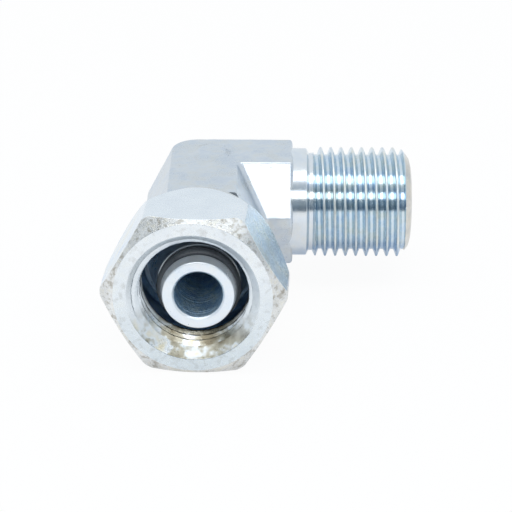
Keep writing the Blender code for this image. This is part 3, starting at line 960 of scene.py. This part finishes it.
def seal_ring(place, material):
    """The ring in the nose's groove, with the faint line that its mould leaves."""
    section = SEAL_SECTION / 2.0
    middle = GROOVE_FLOOR_DIAMETER / 2.0 + SEAL_CLEARANCE + section
    along = NOSE_REACH - GROOVE_BACK - GROOVE_WIDTH / 2.0
    profile = []
    for step in range(SEAL_STEPS):
        angle = 2.0 * math.pi * step / SEAL_STEPS
        flash = SEAL_FLASH if step in (0, SEAL_STEPS // 2) else 0.0
        reach = section + flash
        profile.append((along + reach * math.cos(angle), middle + reach * math.sin(angle)))
    shape = bmesh.new()
    revolve(shape, profile, SEAL_AROUND, closed=True)
    return finished_piece("seal_ring_dressed", shape, place, [material])


# The nut.

def hexagon_radius(angle):
    """How far the hexagon's side is from the axis at an angle, blended into its rounded corner."""
    sector = math.radians(60.0)
    from_flat = abs(angle % sector - sector / 2.0)
    straight = ACROSS_FLATS / 2.0 / math.cos(from_flat)
    corner = CORNER_DIAMETER / 2.0
    blend = min(max(0.5 + 0.5 * (corner - straight) / CORNER_ROUND, 0.0), 1.0)
    sunk = CORNER_ROUND * 0.5 * blend * (1.0 - blend)
    return straight * blend + corner * (1.0 - blend) - sunk


def nut_outside(angle):
    """The nut's outer line at one angle, from its mouth over its front face to the start of its
    lip, and the finish of each stretch of it.
    """
    side = hexagon_radius(angle)
    face, rear = FACE_DIAMETER / 2.0, REAR_DIAMETER / 2.0
    front_edge = (side - face) * math.tan(math.radians(CHAMFER_DEG))
    rear_edge = NUT_LENGTH - (side - rear) / math.tan(math.radians(TAPER_DEG))
    inset = MOUTH_SHARE * NUT_THREAD_START
    corners = [
        (inset, MOUTH_DIAMETER / 2.0 - inset, 0.0),
        (0.0, MOUTH_DIAMETER / 2.0, MOUTH_EDGE),
        (0.0, face, FACE_ROUND),
        (front_edge, side, CHAMFER_ROUND),
        (rear_edge, side, TAPER_ROUND),
        (NUT_LENGTH, rear, LIP_ROUND),
        (NUT_LENGTH, LIP_BORE_DIAMETER / 2.0 + LIP_EDGE, 0.0),
    ]
    points = eased(corners)
    # How many parts each stretch between the corners and their rounds has, and its finish.
    counts = (2, 1, 1, 1, 1, 5, 1, 1, 1, 1, 6, 1, 1, 1, 1, 26, 1, 1, 1, 1, 18, 1, 1, 1, 1, 8)
    finished = [THREAD] * 3 + [FACE] * 6 + [CHAMFER] * 4 + [FLATS] * 5 + [TAPER] * 8
    line, kinds = [points[0]], []
    for start, end, count, kind in zip(points, points[1:], counts, finished):
        for part in range(1, count + 1):
            line.append(start.lerp(end, part / count))
            kinds.append(kind)
    return line, kinds


def swivel_nut(place, tree, materials):
    """The hexagon with its chamfer and taper, then the lip, the relief and the thread inside.
    It is made measured back from its front face and turned round at the end.
    """
    shape = bmesh.new()
    columns = []
    for step in range(AROUND):
        angle = 2.0 * math.pi * step / AROUND
        line, kinds = nut_outside(angle)
        across, up = math.cos(angle), math.sin(angle)
        columns.append([shape.verts.new((x, r * across, r * up)) for x, r in line])
    for index, here in enumerate(columns):
        after = columns[(index + 1) % AROUND]
        for row, kind in enumerate(kinds):
            quad = (here[row], here[row + 1], after[row + 1], after[row])
            shape.faces.new(quad).material_index = kind
    mouth, rear = open_rims(shape)
    relief, lip = RELIEF_DIAMETER / 2.0, LIP_BORE_DIAMETER / 2.0
    lip_start = NUT_LENGTH - LIP_LENGTH
    inside = eased([
        (NUT_LENGTH, lip + LIP_EDGE, 0.0),
        (NUT_LENGTH, lip, LIP_ROUND),
        (lip_start, lip, LIP_ROUND),
        (lip_start - LIP_SLOPE_LENGTH, relief, LIP_ROUND),
        (NUT_THREAD_START + NUT_THREAD_LENGTH + THREAD_GAP, relief, 0.0),
    ])
    last = carry_on(shape, rear, divided(inside, FINE_STEP)[1:], RELIEF)
    minor = NUT_THREAD_DIAMETER / 2.0 - NUT_THREAD_DEPTH
    thread = cut_thread(
        tree, start=NUT_THREAD_START, length=NUT_THREAD_LENGTH, pitch=STUD_PITCH,
        phase=NUT_THREAD_PHASE, crest_radius=minor, depth=NUT_THREAD_DEPTH,
        crest_share=NUT_THREAD_SHARES[0], root_share=NUT_THREAD_SHARES[1],
        softness=NUT_THREAD_SOFTNESS, sense=-1.0, hand=-1.0,
        start_radius=MOUTH_DIAMETER / 2.0 - NUT_THREAD_START, start_rise=1.0,
        end_radius=relief, end_rise=1.0,
        rows=round(NUT_THREAD_LENGTH / STUD_PITCH * THREAD_ROWS), around=AROUND,
        finish=materials[THREAD],
    )
    before = len(shape.faces)
    shape.from_mesh(thread)
    shape.faces.ensure_lookup_table()
    for face in shape.faces[before:]:
        face.material_index = THREAD
    near, far = [ring for ring in open_rims(shape) if not {ring[0]} & {mouth[0], last[0]}]
    join_rings(shape, mouth, near, THREAD)
    join_rings(shape, last, far, THREAD)
    turn_round = Matrix.Translation((NUT_LENGTH - LIP_LENGTH, 0.0, 0.0))
    turn_round = turn_round @ Matrix.Diagonal((-1.0, 1.0, 1.0, 1.0))
    bmesh.ops.transform(shape, matrix=turn_round, verts=shape.verts)
    return finished_piece("swivel_nut_dressed", shape, place, materials)


# The setting.

def softbox(name, target, place, size, power):
    """A soft oblong lamp at a place measured from its target, which it faces."""
    center = target + Vector(place)
    light = bpy.data.lights.new(name, "AREA")
    light.shape = "RECTANGLE"
    light.size, light.size_y = size
    light.energy = power
    holder = bpy.data.objects.new(name, light)
    holder.location = center
    holder.rotation_euler = (target - center).to_track_quat("-Z", "Y").to_euler()
    bpy.context.scene.collection.objects.link(holder)


def room(crossing):
    """The soft room round the part: pale above and behind, darker where the camera stands."""
    world = bpy.data.worlds.new("room")
    bpy.context.scene.world = world
    world.use_nodes = True
    wiring = Wiring(world.node_tree)
    background = world.node_tree.nodes["Background"]
    direction = wiring.add("ShaderNodeTexCoord").outputs["Generated"]
    apart = wiring.add("ShaderNodeSeparateXYZ", direction).outputs
    front = wiring.sum("MULTIPLY", apart["Y"], -1.0)
    soft = {"interpolation_type": "SMOOTHSTEP"}
    dark = wiring.add("ShaderNodeMapRange", front, *ROOM_FRONT, 0.0, 1.0, **soft)
    raised = wiring.add("ShaderNodeMapRange", apart["Z"], *ROOM_RAISED, 0.0, 1.0, **soft)
    ahead = wiring.add("ShaderNodeMix", raised.outputs[0], data_type="RGBA")
    ahead.inputs["A"].default_value = ROOM_LOW
    ahead.inputs["B"].default_value = ROOM_HIGH
    color = wiring.add("ShaderNodeMix", dark.outputs[0], data_type="RGBA")
    color.inputs["A"].default_value = ROOM_AROUND
    wiring.feed(color.inputs["B"], ahead.outputs["Result"])
    wiring.feed(background.inputs["Color"], color.outputs["Result"])
    softbox("overhead_softbox", crossing, *OVERHEAD_SOFTBOX)
    softbox("front_softbox", crossing, *FRONT_SOFTBOX)


def white_floor():
    """A pale floor, which reads as plain white but for the part's faint shadow."""
    mesh = bpy.data.meshes.new("floor")
    half = FLOOR_HALF
    mesh.from_pydata(
        [(-half, -half, 0.0), (half, -half, 0.0), (half, half, 0.0), (-half, half, 0.0)],
        [], [(0, 1, 2, 3)],
    )
    floor = bpy.data.objects.new("floor", mesh)
    bpy.context.scene.collection.objects.link(floor)
    floor.location.z = -FLOOR_DROP
    material = bpy.data.materials.new("white_floor")
    material.use_nodes = True
    nodes = material.node_tree.nodes
    nodes.remove(nodes["Principled BSDF"])
    wiring = Wiring(material.node_tree)
    diffuse = wiring.add("ShaderNodeBsdfDiffuse", FLOOR_COLOR)
    glow = wiring.add("ShaderNodeEmission", (1.0, 1.0, 1.0, 1.0), 1.0)
    path = wiring.add("ShaderNodeLightPath").outputs
    mirrored = wiring.sum("ADD", path["Is Glossy Ray"], path["Is Transmission Ray"])
    glowing = wiring.sum("MULTIPLY", mirrored, FLOOR_MIRRORED)
    share = wiring.sum("MULTIPLY_ADD", path["Is Camera Ray"], FLOOR_SEEN, glowing)
    mix = wiring.add("ShaderNodeMixShader", share, diffuse.outputs[0], glow.outputs[0])
    wiring.feed(nodes["Material Output"].inputs["Surface"], mix.outputs[0])
    mesh.materials.append(material)


def camera(crossing):
    """The camera where the photograph was taken."""
    azimuth, elevation = math.radians(VIEW_AZIMUTH_DEG), math.radians(VIEW_ELEVATION_DEG)
    roll = math.radians(VIEW_ROLL_DEG)
    ahead = Vector((
        math.sin(azimuth) * math.cos(elevation), math.cos(azimuth) * math.cos(elevation),
        -math.sin(elevation),
    ))
    level = Vector((math.cos(azimuth), -math.sin(azimuth), 0.0))
    down = ahead.cross(level)
    right = math.cos(roll) * level + math.sin(roll) * down
    down = math.cos(roll) * down - math.sin(roll) * level
    seen = CROSSING_SEEN
    stand = crossing - (seen.x * right + seen.y * down + seen.z * ahead)
    data = bpy.data.cameras.new("camera")
    data.sensor_width = SENSOR
    data.lens = SENSOR * FOCAL_PIXELS / FRAME_PIXELS
    data.clip_start, data.clip_end = CLIP
    holder = bpy.data.objects.new("camera", data)
    turned = Matrix((right, -down, -ahead)).transposed().to_4x4()
    holder.matrix_world = Matrix.Translation(stand) @ turned
    bpy.context.scene.collection.objects.link(holder)
    bpy.context.scene.camera = holder


def main():
    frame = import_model()
    bpy.context.scene.view_settings.view_transform = "Standard"

    joint = frame["joints"][0]
    pivot = Vector(joint["pos_m"])
    crossing = pivot + Vector((0.0, NUT_PIVOT, 0.0))
    body_place = Matrix.Translation(crossing)
    nose_place = body_place @ Matrix.Rotation(math.radians(-90.0), 4, "Z")
    forward = Vector(joint["axis"]).normalized()
    side = Vector((0.0, 0.0, 1.0)).cross(forward)
    nut_place = Matrix((forward, side, (0.0, 0.0, 1.0))).transposed().to_4x4()
    nut_place = Matrix.Translation(pivot) @ nut_place

    zinc = finishes(body_place, nose_place, nut_place)
    black = rubber("black_rubber_ring", nose_place)

    tree = thread_tree()
    block = forged_block(body_place, [zinc["forged"]])
    stud = threaded_stud(body_place, tree, [zinc["rolled"], zinc["turned stud"], zinc["straw end"]])
    nose = sealing_nose(nose_place, [zinc["turned nose"], zinc["drilled"]])
    seal = seal_ring(nose_place, black)
    nut = swivel_nut(nut_place, tree, [
        zinc[kind] for kind in ("flats", "face", "chamfer", "taper", "thread", "relief")
    ])
    for piece in (block, stud, nose):
        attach(piece, "elbow")
        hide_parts("elbow_body")
    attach(seal, "elbow")
    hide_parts("seal_ring")
    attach(nut, "nut")
    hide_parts("swivel_nut")

    room(crossing)
    white_floor()
    camera(crossing)


main()
